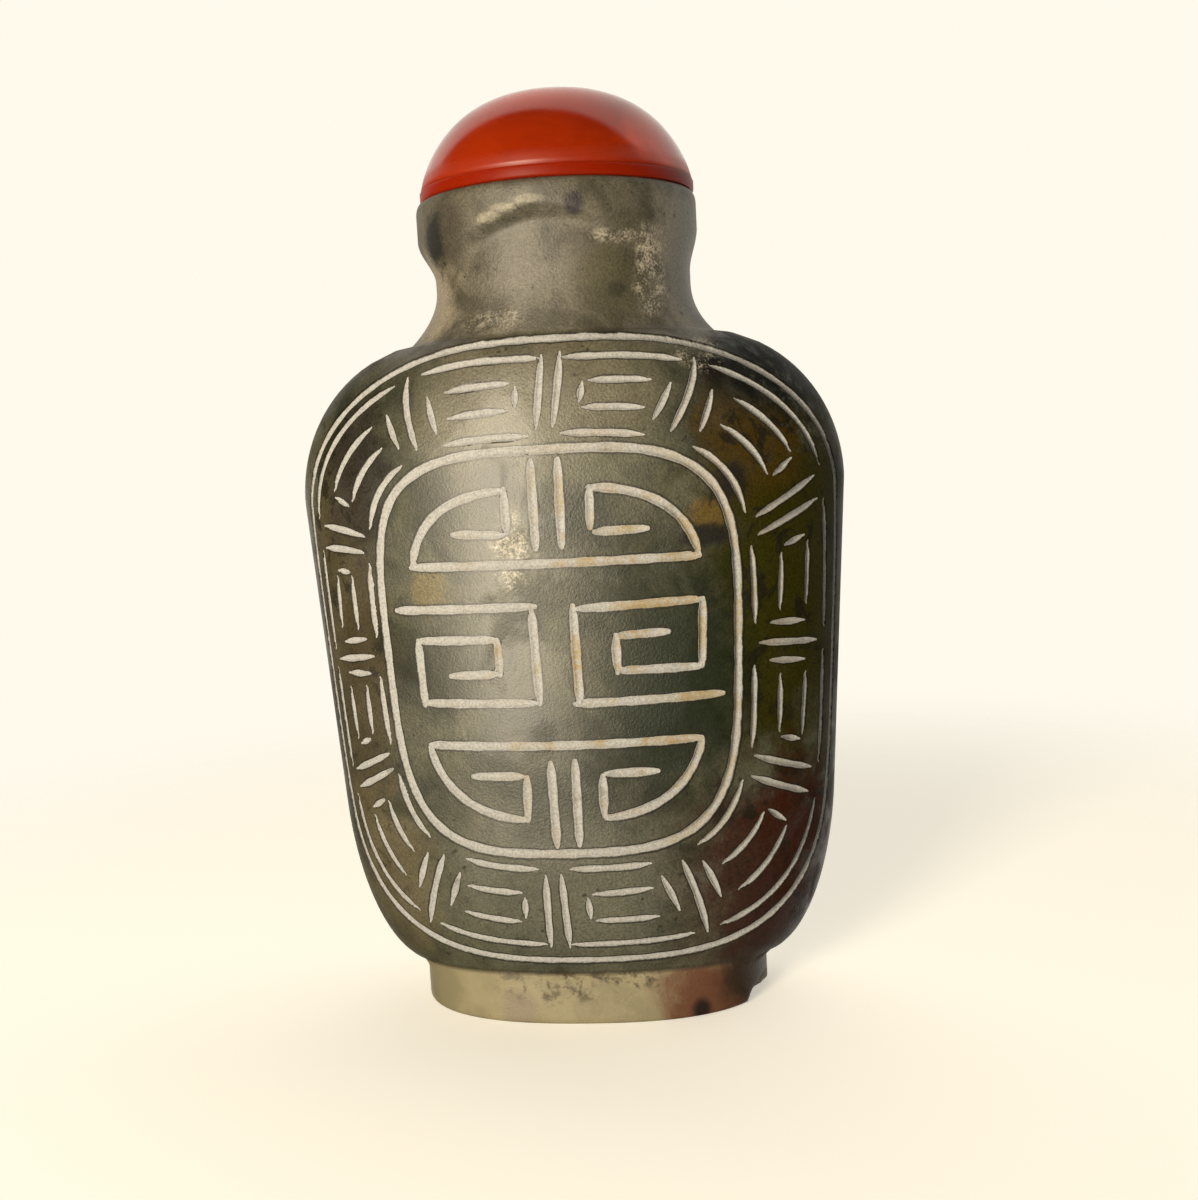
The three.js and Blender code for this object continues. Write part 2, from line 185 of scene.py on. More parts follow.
walkTurns = np.linspace(0, math.pi / 2, 3000)   # distance round the unrolled oval against the turn
unrolledWide, unrolledDeep = bottleForm["unrolled"]
walkPaces = np.hypot(unrolledWide * np.cos(walkTurns), unrolledDeep * np.sin(walkTurns))
walkLengths = np.concatenate([[0], np.cumsum((walkPaces[1:] + walkPaces[:-1]) / 2 * np.diff(walkTurns))])
halfRound = float(walkLengths[-1])


def turnAt(across):
    return np.sign(across) * np.interp(np.abs(across), walkLengths, walkTurns)


def onSkin(across, level, onBack):
    turn = turnAt(np.asarray(across, float))
    return skinPoint(math.pi - turn if onBack else turn, level)


# Carved lines, laid out on the unrolled front or back as (across, level) in millimetres

carving = {
    "outerLine": {"across": 0.65, "level": 26.35, "halfWidth": 20.85, "halfHeight": 21.3,
                  "squareness": 3.75, "half": 0.31},
    "frameLine": {"across": -0.3, "level": 26.85, "halfWidth": 12.5, "halfHeight": 13.6,
                  "squareness": 3.7, "half": 0.33},
    "fretUnits": 12, "pairSpread": 0.07, "separatorReach": (0.18, 0.86), "sideSeparatorEnd": 0.74,
    "placeCreep": (0, 0, 0, 0, 0.07, 0.04, 0.19, 0.18, 0.06, 0, 0, -0.07),   # units clockwise
    "placeLean": (0, 0, 0, 0, -0.22, 0.12, 0.04, 0, 0.17, 0, -0.3, 0),       # further on at the outer line
    "handJitter": 0.22,
    "fretUnit": {
        "outerBar": ((0.1, 0.83), (0.92, 0.83)),
        "outerMidBar": ((0.29, 0.61), (0.74, 0.61)),
        "innerMidBar": ((0.29, 0.36), (0.74, 0.36)),
        "innerBar": ((0.14, 0.13), (0.8, 0.13)),
        "joiningBar": ((0.25, 0.4), (0.25, 0.58)),
        "endBar": ((0.86, 0.6), (0.84, 0.26)),
    },
    "medallionBar": ((-9.8, 6.1), (9.8, 6.1)),
    "medallionHook": {
        "arc": ((9.7, 6.3), (8.6, 10.8), (2.8, 11.1)),
        "upright": ((2.7, 11.1), (2.7, 8.3)),
        "returnBar": ((2.9, 8.2), (6.5, 8.2)),
        "stem": ((0.8, 7.2), (0.8, 13.0)),
    },
    "medallionSpiral": {
        "inner": ((1.4, 3.3), (1.4, -3.2)),
        "top": ((1.6, 3.2), (9.8, 3.2)),
        "outer": ((9.9, 3.3), (9.9, -1.1)),
        "turnBack": ((9.8, -1.2), (4.1, -1.2)),
        "heart": ((4.0, -1.3), (4.0, 1.2)),
        "heartBar": ((4.2, 1.2), (7.6, 1.2)),
        "bottom": ((1.2, -3.3), (11.4, -3.3)),
    },
    "fretHalf": 0.25, "medallionHalf": 0.32,
    "lineDepth": 0.25, "cutDepth": 0.24,
    "fretEnd": (1.2, 0.3), "medallionEnd": (0.8, 0.55),   # length of the taper, and width left at the tip
    "waver": 0.06, "stationGap": 0.28,
    "rows": (0.0, 0.6, 1.0, 1.38, 2.0),   # shares of the half width where the mesh has points
    "floorShare": 0.6, "pointGap": 0.06, "clearCell": 0.3, "borderMargin": 0.1,
    "loopShare": 1.85, "tipFall": 0.7, "tipDepth": 0.35, "tipAngles": (-60, -30, 0, 30, 60),
}


def drift(seed):
    wave = math.sin(seed * 12.9898) * 43758.5453
    return wave - math.floor(wave)


def loopPoint(line, angle):
    wide = np.abs(np.cos(angle) / line["halfWidth"]) ** line["squareness"]
    tall = np.abs(np.sin(angle) / line["halfHeight"]) ** line["squareness"]
    reach = (wide + tall) ** (-1 / line["squareness"])
    return np.stack([line["across"] + reach * np.cos(angle), line["level"] + reach * np.sin(angle)], -1)


def atPlace(name, place):
    units, values = carving["fretUnits"], carving[name]
    return np.interp(np.mod(place, units), range(units + 1), (*values, values[0]))


def stripPath(start, end):
    def path(t):
        place = start[0] + (end[0] - start[0]) * t
        rise = start[1] + (end[1] - start[1]) * t
        lean = atPlace("placeLean", place) * (rise - carving["separatorReach"][0])
        moved = place + atPlace("placeCreep", place) + lean
        angle = math.pi / 2 - moved * 2 * math.pi / carving["fretUnits"]
        inner = loopPoint(carving["frameLine"], angle)
        return inner + (loopPoint(carving["outerLine"], angle) - inner) * rise[:, None]
    return path


def separatorPaths():
    paths = []
    low, high = carving["separatorReach"]
    units = carving["fretUnits"]
    for place in range(units):
        offsets = (-carving["pairSpread"], carving["pairSpread"]) if place % 2 == 0 else (0.0,)
        atSide = abs(place % (units // 2) - units // 4) <= 1
        end = carving["sideSeparatorEnd"] if atSide else high
        paths += [stripPath((place + offset, low), (place + offset, end)) for offset in offsets]
    return paths


def fretPaths():
    paths = []
    for unit in range(carving["fretUnits"]):   # every second unit is the mirror of the one before
        for start, end in carving["fretUnit"].values():
            ends = [(unit + (1 - share if unit % 2 else share), rise) for share, rise in (start, end)]
            paths.append(stripPath(*ends))
    return paths


def medallionPath(points, flipAcross, flipLevel):
    line = carving["frameLine"]
    placed = [np.array([line["across"] + flipAcross * x, line["level"] + flipLevel * y]) for x, y in points]

    def path(t):
        t = t[:, None]
        if len(placed) == 2:
            return placed[0] + (placed[1] - placed[0]) * t
        return placed[0] * (1 - t) ** 2 + placed[1] * 2 * t * (1 - t) + placed[2] * t ** 2
    return path


def medallionPaths():
    paths = []
    for flip in (1, -1):
        for points in carving["medallionHook"].values():
            paths += [medallionPath(points, 1, flip), medallionPath(points, -1, flip)]
        paths.append(medallionPath(carving["medallionBar"], flip, flip))
        paths += [medallionPath(points, flip, flip) for points in carving["medallionSpiral"].values()]
    return paths


def handMade(path, seed):
    sway = [(drift(seed * 4 + k) - 0.5) * carving["handJitter"] for k in range(4)]

    def swayed(t):
        across, up = sway[0] + (sway[1] - sway[0]) * t, sway[2] + (sway[3] - sway[2]) * t
        return path(t) + np.stack([across, up], -1)
    return swayed


def waverAt(run, seed):   # slow change of a cut's width along its length
    slow, quick = drift(seed * 7.3) * 2 * math.pi, drift(seed * 9.1) * 2 * math.pi
    return 1 + carving["waver"] * (np.sin(run * 1.9 + slow) + 0.6 * np.sin(run * 4.3 + quick))


def makeCut(path, seed, half, depth, ending):
    fine = path(np.linspace(0, 1, 60))
    length = float(np.linalg.norm(np.diff(fine, axis=0), axis=1).sum())
    t = np.linspace(0, 1, max(6, round(length / carving["stationGap"]) + 1))
    run = t * length
    ends = np.minimum(run, length - run) / min(ending[0], length * 0.45)
    taper = ending[1] + (1 - ending[1]) * np.clip(ends, 0, 1) ** carving["tipFall"]
    width = half * waverAt(run, seed) * taper
    sink = depth * (carving["tipDepth"] + (1 - carving["tipDepth"]) * np.clip(ends, 0, 1))
    return {"points": path(t), "half": width, "depth": sink, "closed": False}


def makeLine(line, seed):
    around = 2 * (carving[line]["halfWidth"] + carving[line]["halfHeight"]) * carving["loopShare"]
    count = round(around / carving["stationGap"])
    angles = np.linspace(0, 2 * math.pi, 2000)
    fine = loopPoint(carving[line], angles)
    run = np.concatenate([[0], np.cumsum(np.linalg.norm(np.diff(fine, axis=0), axis=1))])
    stations = np.linspace(0, run[-1], count + 1)[:-1]
    points = np.stack([np.interp(stations, run, fine[:, axis]) for axis in (0, 1)], -1)
    width = carving[line]["half"] * waverAt(stations, seed)
    return {"points": points, "half": width, "depth": np.full(count, carving["lineDepth"]), "closed": True}


def allCuts(onBack):
    lines = [makeLine("outerLine", 3 + onBack), makeLine("frameLine", 11 + onBack)]
    narrow = [*separatorPaths(), *([] if onBack else fretPaths())]
    broad = [] if onBack else medallionPaths()
    cuts = []
    for index, path in enumerate([*narrow, *broad]):
        isNarrow = index < len(narrow)
        kind = "fret" if isNarrow else "medallion"
        half, ending = carving[kind + "Half"], carving[kind + "End"]
        cuts.append(makeCut(handMade(path, index + 1), index + 1, half, carving["cutDepth"], ending))
    return lines + cuts


def cutRows(cut, onBack):
    # points of the mesh beside a cut, at set shares of its half width
    nudge = 0.02
    points = cut["points"]
    if cut["closed"]:
        along = np.roll(points, -1, 0) - np.roll(points, 1, 0)
    else:
        along = np.gradient(points, axis=0)
    here = onSkin(points[:, 0], points[:, 1], onBack)
    acrossScale = np.linalg.norm(onSkin(points[:, 0] + nudge, points[:, 1], onBack) - here, axis=1) / nudge
    levelScale = np.linalg.norm(onSkin(points[:, 0], points[:, 1] + nudge, onBack) - here, axis=1) / nudge
    scales = np.stack([acrossScale, levelScale], -1)
    way = along * scales
    way /= np.linalg.norm(way, axis=1, keepdims=True)
    beside = np.stack([-way[:, 1], way[:, 0]], -1) / scales
    rows = []
    for share in carving["rows"]:
        for side in ((1, -1) if share else (1,)):
            rows.append(points + beside * (cut["half"] * share * side)[:, None])
    if not cut["closed"]:
        for end, sign in ((0, -1), (-1, 1)):   # half circles of points round each tip
            for share in carving["rows"][1:]:
                angles = np.radians(carving["tipAngles"])[:, None]
                out = np.cos(angles) * sign * way[end] / scales[end] + np.sin(angles) * beside[end]
                rows.append(points[end] + out * cut["half"][end] * share)
    return np.concatenate(rows)


def thinned(points, gap):
    kept, cells = [], {}
    for point in points:
        cell = (int(point[0] // gap), int(point[1] // gap))
        near = [q for i in (-1, 0, 1) for j in (-1, 0, 1)
                for q in cells.get((cell[0] + i, cell[1] + j), ())]
        if all((point[0] - q[0]) ** 2 + (point[1] - q[1]) ** 2 > gap * gap for q in near):
            cells.setdefault(cell, []).append(point)
            kept.append(point)
    return np.array(kept)


def columnAcross():
    return np.linspace(-halfRound, halfRound, bottleForm["columns"] // 2 + 1)


def skinBottom():
    return bottleForm["footHeight"] + bottleForm["footCove"]


def carvedPatch(onBack):
    # half of the body's skin: fine rows along every cut, and an even scatter between them
    gap, low, high = bottleForm["skinGap"], skinBottom(), bottleForm["neckStart"]
    across = columnAcross()
    seamLevels = np.linspace(low, high, round((high - low) / gap) + 1)
    border = np.concatenate([
        np.stack([across, np.full(len(across), low)], -1),
        np.stack([across, np.full(len(across), high)], -1),
        np.stack([np.full(len(seamLevels) - 2, -halfRound), seamLevels[1:-1]], -1),
        np.stack([np.full(len(seamLevels) - 2, halfRound), seamLevels[1:-1]], -1)])
    rows = thinned(np.concatenate([cutRows(cut, onBack) for cut in allCuts(onBack)]), carving["pointGap"])
    margin, cell = carving["borderMargin"], carving["clearCell"]
    between = (rows[:, 1] > low + margin) & (rows[:, 1] < high - margin)
    rows = rows[(np.abs(rows[:, 0]) < halfRound - margin) & between]
    acrossGrid, levelGrid = np.meshgrid(np.arange(-halfRound + gap, halfRound - gap / 2, gap),
                                        np.arange(low + gap * 0.9, high - gap / 2, gap * 0.9))
    acrossGrid[1::2] += gap / 2
    scatter = np.stack([acrossGrid.ravel(), levelGrid.ravel()], -1)
    scatter = scatter[np.abs(scatter[:, 0]) < halfRound - gap * 0.4]
    cells = {(int(x // cell), int(y // cell)) for x, y in rows}
    free = [p for p in scatter if not any((int(p[0] // cell) + i, int(p[1] // cell) + j) in cells
                                          for i in (-1, 0, 1) for j in (-1, 0, 1))]
    flat = [Vector(p) for p in np.concatenate([border, rows, np.array(free)])]
    points, _, faces, *_ = geometry.delaunay_2d_cdt(flat, [], [], 0, 1e-6)
    points = np.array([tuple(p) for p in points])
    places = onSkin(points[:, 0], points[:, 1], onBack)
    if onBack:
        faces = [face[::-1] for face in faces]
    return places, faces


def ringFaces(ringCount, columns, closeStart=False, closeEnd=False):
    faces = []
    for row in range(ringCount - 1):
        for column in range(columns):
            following = (column + 1) % columns
            faces.append((row * columns + column, row * columns + following,
                          (row + 1) * columns + following, (row + 1) * columns + column))
    if closeStart:
        faces.append(tuple(reversed(range(columns))))
    if closeEnd:
        faces.append(tuple((ringCount - 1) * columns + c for c in range(columns)))
    return faces


def columnTurns():
    front = turnAt(columnAcross())
    return np.concatenate([front, math.pi - front[::-1][1:-1]])


def neckPart():
    form, turns = bottleForm, columnTurns()
    levels = np.concatenate([np.linspace(form["neckStart"], form["neckStart"] + 1, 9),
                             np.linspace(form["neckStart"] + 1, form["lipStart"], 34)[1:],
                             np.linspace(form["lipStart"], form["lipLevel"], 7)[1:]])
    return np.concatenate([skinPoint(turns, level) for level in levels]), ringFaces(len(levels), len(turns))


def ovalRings(sizes, squareness=2.0):
    turns = columnTurns()
    rings = [np.stack([*ovalPoint(turns, wide, deep, squareness), np.full(len(turns), level)], -1)
             for wide, deep, level in sizes]
    return np.concatenate(rings)


def footPart():
    form = bottleForm
    wide, deep = form["footHalf"]
    bevel, ring = form["footBevel"], form["footRing"]
    recess = [(share * (wide - ring - form["recessSlope"]), share * (deep - ring - form["recessSlope"]),
               form["baseRecess"]) for share in (0.1, 0.3, 0.5, 0.7, 0.85, 1.0)]
    slope = [(wide - ring - 0.05, deep - ring - 0.05, 0.12), (wide - ring, deep - ring, 0.0)]
    insets = ring - (ring - bevel) * np.linspace(0.1, 1, 10)
    flat = [(wide - inset, deep - inset, 0.0) for inset in insets]
    edge = [(wide - bevel * (1 - math.sin(a)), deep - bevel * (1 - math.sin(a)), bevel * (1 - math.cos(a)))
            for a in np.linspace(0.25, math.pi / 2, 5)]
    side = [(wide, deep, level) for level in np.linspace(bevel + 0.2, form["footHeight"] - 0.15, 11)]
    sizes = recess + slope + flat + edge + side
    rings = [ovalRings(sizes, form["footSquareness"])]
    wall, body = rings[0][-form["columns"]:], skinPoint(columnTurns(), skinBottom())
    coveSteps = (0.25, 0.6, 1.0)   # small cove from the foot out to the body
    rings += [wall + (body - wall) * np.array([t ** 1.5, t ** 1.5, t]) for t in coveSteps]
    return np.concatenate(rings), ringFaces(len(sizes) + len(coveSteps), form["columns"], closeStart=True)


def insidePart():
    # from the lip's inner edge down the mouth and round the hollow to its floor
    form = bottleForm
    shoulder, base = form["cavityTop"] - form["widestAt"], form["baseTop"] - form["cavityFloor"]
    halves = []
    for size, wall, floorIn in ((form["width"], form["wallSide"], form["floorIn"][0]),
                                (form["depth"], form["wallFace"], form["floorIn"][1])):
        reach = size["widest"] - wall
        halves.append({"widest": reach, "taper": size["taper"], "shoulderIn": reach - form["mouthRadius"],
                       "shoulderHeight": shoulder, "baseIn": floorIn, "baseHeight": base})
    mouth, bevel, lip = form["mouthRadius"], form["mouthBevel"], form["lipLevel"]
    lipFlat = [form["lipRadius"] + (mouth + bevel - form["lipRadius"]) * t for t in np.linspace(0, 1, 7)]
    sizes = [(r, r, lip) for r in lipFlat] + [(mouth, mouth, lip - bevel)]
    sizes += [(mouth, mouth, level) for level in np.linspace(lip - 2, form["cavityTop"] + 0.3, 8)]
    angles = np.linspace(math.pi / 2, 0, 10)
    levels = np.concatenate([form["widestAt"] + shoulder * np.sin(angles),
                             np.linspace(form["widestAt"], form["baseTop"], 8)[1:-1],
                             form["baseTop"] - base * np.sin(angles[::-1])])
    sizes += [(bodyHalf(level, halves[0]), bodyHalf(level, halves[1]), level) for level in levels]
    return ovalRings(sizes), ringFaces(len(sizes), form["columns"], closeEnd=True)


def chipped(places):
    # points inside a small tilted egg at the foot's right end are pushed in until they lie on it
    form = bottleForm
    turned = np.array(Matrix.Rotation(form["chipSlant"], 3, "Z"))
    local = ((places - np.array(form["chipCentre"])) @ turned) / np.array(form["chipHalf"])
    way = (np.array(form["chipWay"]) @ turned) / np.array(form["chipHalf"])
    inside = (local ** 2).sum(1) < 1
    a, b, c = (way ** 2).sum(), local @ way, (local ** 2).sum(1) - 1
    reach = (-b + np.sqrt(np.maximum(b * b - a * c, 0))) / a
    places[inside] += reach[inside, None] * np.array(form["chipWay"])
    return places


def buildMesh(name, parts):
    places, faces, count = [], [], 0
    for partPlaces, partFaces in parts:
        places.append(partPlaces)
        faces += [tuple(i + count for i in face) for face in partFaces]
        count += len(partPlaces)
    mesh = bpy.data.meshes.new(name)
    mesh.from_pydata((np.concatenate(places) * mm).tolist(), [], faces)
    work = bmesh.new()
    work.from_mesh(mesh)
    bmesh.ops.remove_doubles(work, verts=work.verts, dist=2e-6)
    bmesh.ops.triangulate(work, faces=[f for f in work.faces if len(f.verts) > 4])
    bmesh.ops.recalc_face_normals(work, faces=work.faces)
    for face in work.faces:
        face.smooth = True
    work.to_mesh(mesh)
    work.free()
    return mesh


def addObject(name, mesh, material=None):
    made = bpy.data.objects.new(name, mesh)
    scene.collection.objects.link(made)
    if material:
        mesh.materials.append(material)
    return made


def cutGuides():
    # the cuts' centre lines on the skin, with each point's half width and depth
    places, edges, halves, depths = [], [], [], []
    for onBack in (False, True):
        for cut in allCuts(onBack):
            first, count = len(halves), len(cut["half"])
            places.append(onSkin(cut["points"][:, 0], cut["points"][:, 1], onBack))
            halves += list(cut["half"])
            depths += list(cut["depth"])
            edges += [(first + i, first + i + 1) for i in range(count - 1)]
            edges += [(first + count - 1, first)] if cut["closed"] else []
    mesh = bpy.data.meshes.new("cutGuides")
    mesh.from_pydata((np.concatenate(places) * mm).tolist(), edges, [])
    for name, values in (("halfWidth", halves), ("cutDepth", depths)):
        mesh.attributes.new(name, "FLOAT", "POINT").data.foreach_set("value", np.array(values) * mm)
    return addObject("cutGuides", mesh)


def newTree(name, inputs):
    tree = bpy.data.node_groups.new(name, "GeometryNodeTree")
    tree.interface.new_socket("Geometry", in_out="INPUT", socket_type="NodeSocketGeometry")
    tree.interface.new_socket("Geometry", in_out="OUTPUT", socket_type="NodeSocketGeometry")
    for label, kind in inputs:
        tree.interface.new_socket(label, in_out="INPUT", socket_type=kind)
    return tree, tree.nodes.new("NodeGroupInput"), tree.nodes.new("NodeGroupOutput")


def runTree(made, tree, values):
    # sets the named inputs by identifier, then keeps the result as a plain mesh
    modifier = made.modifiers.new(tree.name, "NODES")
    modifier.node_group = tree
    for item in tree.interface.items_tree:
        if item.in_out == "INPUT" and item.name in values:
            modifier[item.identifier] = values[item.name]
    made.update_tag()
    depsgraph = bpy.context.evaluated_depsgraph_get()
    depsgraph.update()
    mesh = bpy.data.meshes.new_from_object(made.evaluated_get(depsgraph))
    made.modifiers.remove(modifier)
    made.data = mesh
    mesh.name = made.name
    return made


def settleNormals(mesh):
    # beside the cuts the stone stays as smooth as before it was cut
    count = len(mesh.vertices)
    normals, kept, edge = np.zeros(count * 3), np.zeros(count * 3), np.zeros(count)
    mesh.vertex_normals.foreach_get("vector", normals)
    mesh.attributes["skinNormal"].data.foreach_get("vector", kept)
    mesh.attributes["cutEdge"].data.foreach_get("value", edge)
    uncut = (edge >= 0.97)[:, None]
    settled = np.where(uncut, kept.reshape(-1, 3), normals.reshape(-1, 3))
    mesh.normals_split_custom_set_from_vertices(settled.tolist())
    mesh.attributes.remove(mesh.attributes["skinNormal"])


def carvingTree():
    # sinks the skin along the guide lines, and keeps the distance to a cut and the uncut skin's normal
    tree, given, result = newTree("carveCuts", (
        ("Cut Guides", "NodeSocketObject"), ("Floor Share", "NodeSocketFloat"),
        ("Stone", "NodeSocketMaterial")))
    guides = addNode(tree, "GeometryNodeObjectInfo", object=given.outputs["Cut Guides"]).outputs["Geometry"]
    near = addNode(tree, "GeometryNodeProximity", {"target_element": "EDGES"}, geometry=guides)
    nearest = addNode(tree, "GeometryNodeSampleNearest", {"domain": "POINT"}, geometry=guides)
    index = nearest.outputs["Index"]
    sampled = {}
    for name in ("halfWidth", "cutDepth"):
        value = addNode(tree, "GeometryNodeInputNamedAttribute", {"data_type": "FLOAT"}, name=name)
        sampled[name] = addNode(tree, "GeometryNodeSampleIndex", geometry=guides, index=index,
                                value=value.outputs["Attribute"]).outputs["Value"]
    edge = maths(tree, "DIVIDE", near.outputs["Distance"], sampled["halfWidth"])
    share = spread(tree, edge, given.outputs["Floor Share"], 1.0, 1.0, 0.0)
    sink = maths(tree, "MULTIPLY", maths(tree, "MULTIPLY", share, sampled["cutDepth"]), -1.0)
    outward = addNode(tree, "GeometryNodeInputNormal").outputs["Normal"]
    offset = addNode(tree, "ShaderNodeVectorMath", {"operation": "SCALE"}, scale=sink, slot0=outward)
    kept = addNode(tree, "GeometryNodeStoreNamedAttribute",
                   {"data_type": "FLOAT_VECTOR", "domain": "POINT"},
                   geometry=given.outputs["Geometry"], name="skinNormal", value=outward)
    marked = addNode(tree, "GeometryNodeStoreNamedAttribute", {"data_type": "FLOAT", "domain": "POINT"},
                     geometry=kept.outputs[0], name="cutEdge", value=maths(tree, "MINIMUM", edge, 4.0))
    moved = addNode(tree, "GeometryNodeSetPosition", geometry=marked.outputs[0], offset=offset.outputs[0])
    whole = addNode(tree, "GeometryNodeRealizeInstances", geometry=moved.outputs[0])
    dressed = addNode(tree, "GeometryNodeSetMaterial", geometry=whole.outputs[0],
                      material=given.outputs["Stone"])
    tree.links.new(dressed.outputs[0], result.inputs[0])
    return tree


# Jade: dark grey-green stone with brown and black places, and chalk left in the cuts

jade = {
    "deep": (0.014, 0.017, 0.008), "pale": (0.072, 0.071, 0.043), "mottle": (0.048, 0.040, 0.031),
    "neck": (0.086, 0.077, 0.055), "neckShade": (0.038, 0.034, 0.019), "neckFrom": 46.3, "neckTo": 50.0,
    "chalk": (0.345, 0.348, 0.345), "chalkShade": (0.165, 0.164, 0.153), "ochre": (0.26, 0.19, 0.075),
    # the dark grime colour is used for the black flecks, and also for the painted shade along the cuts'
    # edges
    "grime": (0.010, 0.009, 0.005), "crust": (0.46, 0.42, 0.34),
    "polished": 0.40, "frosted": 0.52, "neckRough": 0.55,
    "bump": 0.6, "bumpDepth": 0.07, "ior": 1.6,
    "places": (   # colour, centre and half sizes in millimetres, strength
        ((0.120, 0.108, 0.070), (-1.0, -11.0, 43.8), (9.0, 5.0, 4.2), 0.6),    # pale top of the border
        ((0.021, 0.019, 0.001), (16.0, -7.0, 33.0), (8.0, 10.0, 17.0), 0.94),  # dark olive, right side
        ((0.040, 0.024, 0.003), (13.5, -9.0, 41.0), (4.5, 6.0, 4.5), 0.85),    # olive brown, upper right
        ((0.032, 0.008, 0.003), (15.0, -7.0, 10.0), (9.0, 10.0, 9.0), 0.92),   # red brown, lower right
        ((0.140, 0.106, 0.032), (-8.7, -10.0, 31.4), (1.5, 4.0, 1.5), 0.55),   # yellow spot
        ((0.008, 0.014, 0.004), (7.4, -10.5, 25.5), (5.2, 5.0, 8.5), 0.9),     # dark green, right of middle
        ((0.048, 0.036, 0.015), (-15.5, -7.0, 27.0), (4.0, 7.0, 16.0), 0.7),   # brown left side
        ((0.020, 0.017, 0.015), (-13.5, -8.0, 39.5), (3.0, 5.0, 6.0), 0.75),   # purple grey, upper left
        ((0.007, 0.008, 0.007), (15.0, -6.0, 45.0), (5.5, 6.0, 3.6), 0.95),    # black, right shoulder
        ((0.010, 0.008, 0.006), (11.7, -9.2, 37.7), (1.0, 3.0, 1.3), 0.9),     # black on the frame
        ((0.095, 0.060, 0.012), (10.2, -9.8, 35.7), (1.5, 3.0, 1.0), 0.8),    # ochre in the frame's corner
        ((0.008, 0.008, 0.007), (9.8, -10.0, 34.3), (1.9, 3.0, 0.8), 0.9),     # black under the ochre
        ((0.098, 0.099, 0.074), (-1.0, -9.0, 10.5), (9.0, 6.0, 6.5), 0.65),    # grey green under the frame
        ((0.105, 0.086, 0.046), (-13.0, -5.0, 11.0), (4.0, 7.0, 7.0), 0.65),   # brown, lower left
        ((0.240, 0.205, 0.148), (-8.2, -3.5, 50.8), (2.6, 6.0, 3.2), 0.75),    # painted bounce light: beige on the neck's left edge, left of the waist
        ((0.200, 0.182, 0.140), (9.0, -3.0, 53.0), (2.2, 6.0, 6.0), 0.8),      # painted bounce light: grey beige on the neck's right edge
        ((0.045, 0.040, 0.016), (4.2, -8.5, 51.3), (2.2, 4.0, 2.4), 0.7),      # olive, right of the waist
        ((0.290, 0.262, 0.190), (-3.4, -9.2, 55.75), (0.9, 1.6, 0.35), 0.5),   # painted highlight along the collar's lower edge
        ((0.290, 0.262, 0.190), (-2.1, -9.6, 56.25), (1.0, 1.6, 0.32), 0.5),   # and up along its arch
        ((0.290, 0.262, 0.190), (-0.6, -9.8, 56.65), (1.1, 1.6, 0.28), 0.4),
        ((0.030, 0.024, 0.015), (-6.6, -7.2, 55.3), (1.6, 3.0, 2.2), 0.7),     # brown, collar's left end
        ((0.010, 0.010, 0.009), (-7.7, -6.3, 55.0), (0.9, 2.5, 1.9), 0.95),    # black streak on the collar
        ((0.018, 0.015, 0.017), (2.3, -9.7, 56.2), (0.7, 2.0, 0.8), 0.9),      # black spot on the collar
        ((0.022, 0.022, 0.012), (4.7, -8.0, 50.7), (0.7, 2.0, 0.7), 0.85),     # black spot under the waist
        ((0.060, 0.048, 0.014), (-12.0, 9.0, 36.0), (7.0, 8.0, 9.0), 0.7),     # olive on the back
        ((0.060, 0.022, 0.010), (9.0, 9.0, 13.0), (7.0, 8.0, 7.0), 0.7),       # brown on the back
    ),
    "foot": (0.265, 0.232, 0.136),
    "creaseLevel": 3.05, "creaseRise": 0.1, "creaseBlur": 0.1,   # where the foot meets the body
    "footPlaces": (
        ((0.105, 0.028, 0.008), (8.6, -5.0, 1.2), (4.2, 8.0, 4.0), 0.9),       # red brown end
        ((0.030, 0.017, 0.008), (11.8, -3.5, 2.4), (3.2, 6.0, 3.2), 0.95),     # dark corner
        ((0.008, 0.006, 0.006), (8.0, -6.4, 0.6), (0.8, 2.0, 1.0), 0.9),       # black spot
        ((0.190, 0.152, 0.115), (-4.8, -7.6, 1.0), (1.3, 2.0, 1.6), 0.6),      # purple grey
        ((0.150, 0.132, 0.076), (-11.0, -4.0, 2.0), (2.2, 4.0, 2.6), 0.6),     # darker left end
    ),
    "stained": ((3.0, -11.0, 27.0), (14.0, 9.0, 17.0)),    # ochre in the chalk of the frame and medallion
    "smudged": ((-0.5, -8.0, 3.2), (6.5, 4.0, 1.7)),       # dark specks on the foot's top, under the body
    "blotched": (   # centre, half sizes and strength of black-flecked places
        ((16.0, -5.0, 36.0), (9.0, 12.0, 16.0), 0.9),
        ((15.0, -6.0, 11.0), (8.0, 10.0, 10.0), 0.75),
        ((-16.0, -5.0, 30.0), (6.0, 12.0, 24.0), 0.8),
    ),
    "speckled": ((17.0, -2.0, 44.0), (5.5, 8.0, 6.0)),     # grey-green speckle on the right shoulder
    # the dark foot colour is used for the specks on the foot's top and for the painted shade line along the
    # crease
    "speckle": (0.060, 0.065, 0.048), "footDirt": (0.030, 0.022, 0.010),
    "crusts": (   # centre, half sizes and strength of pale scratched places
        ((6.9, -6.3, 51.8), (1.1, 2.5, 3.2), 0.75),
        ((-2.8, -11.6, 33.8), (1.3, 2.0, 2.6), 0.7),
        ((10.0, -9.0, 46.4), (1.5, 3.0, 1.2), 0.7),
        ((-3.8, -9.0, 49.2), (2.6, 2.5, 0.8), 0.3),
        ((5.0, -8.5, 54.2), (2.2, 2.0, 0.5), 0.45),
    ),
    "dull": (   # weathered places with little shine
        ((17.0, 0.0, 34.0), (7.5, 16.0, 32.0), 1.0),
        ((-16.0, 0.0, 43.5), (8.0, 16.0, 7.0), 1.0),
    ),
}


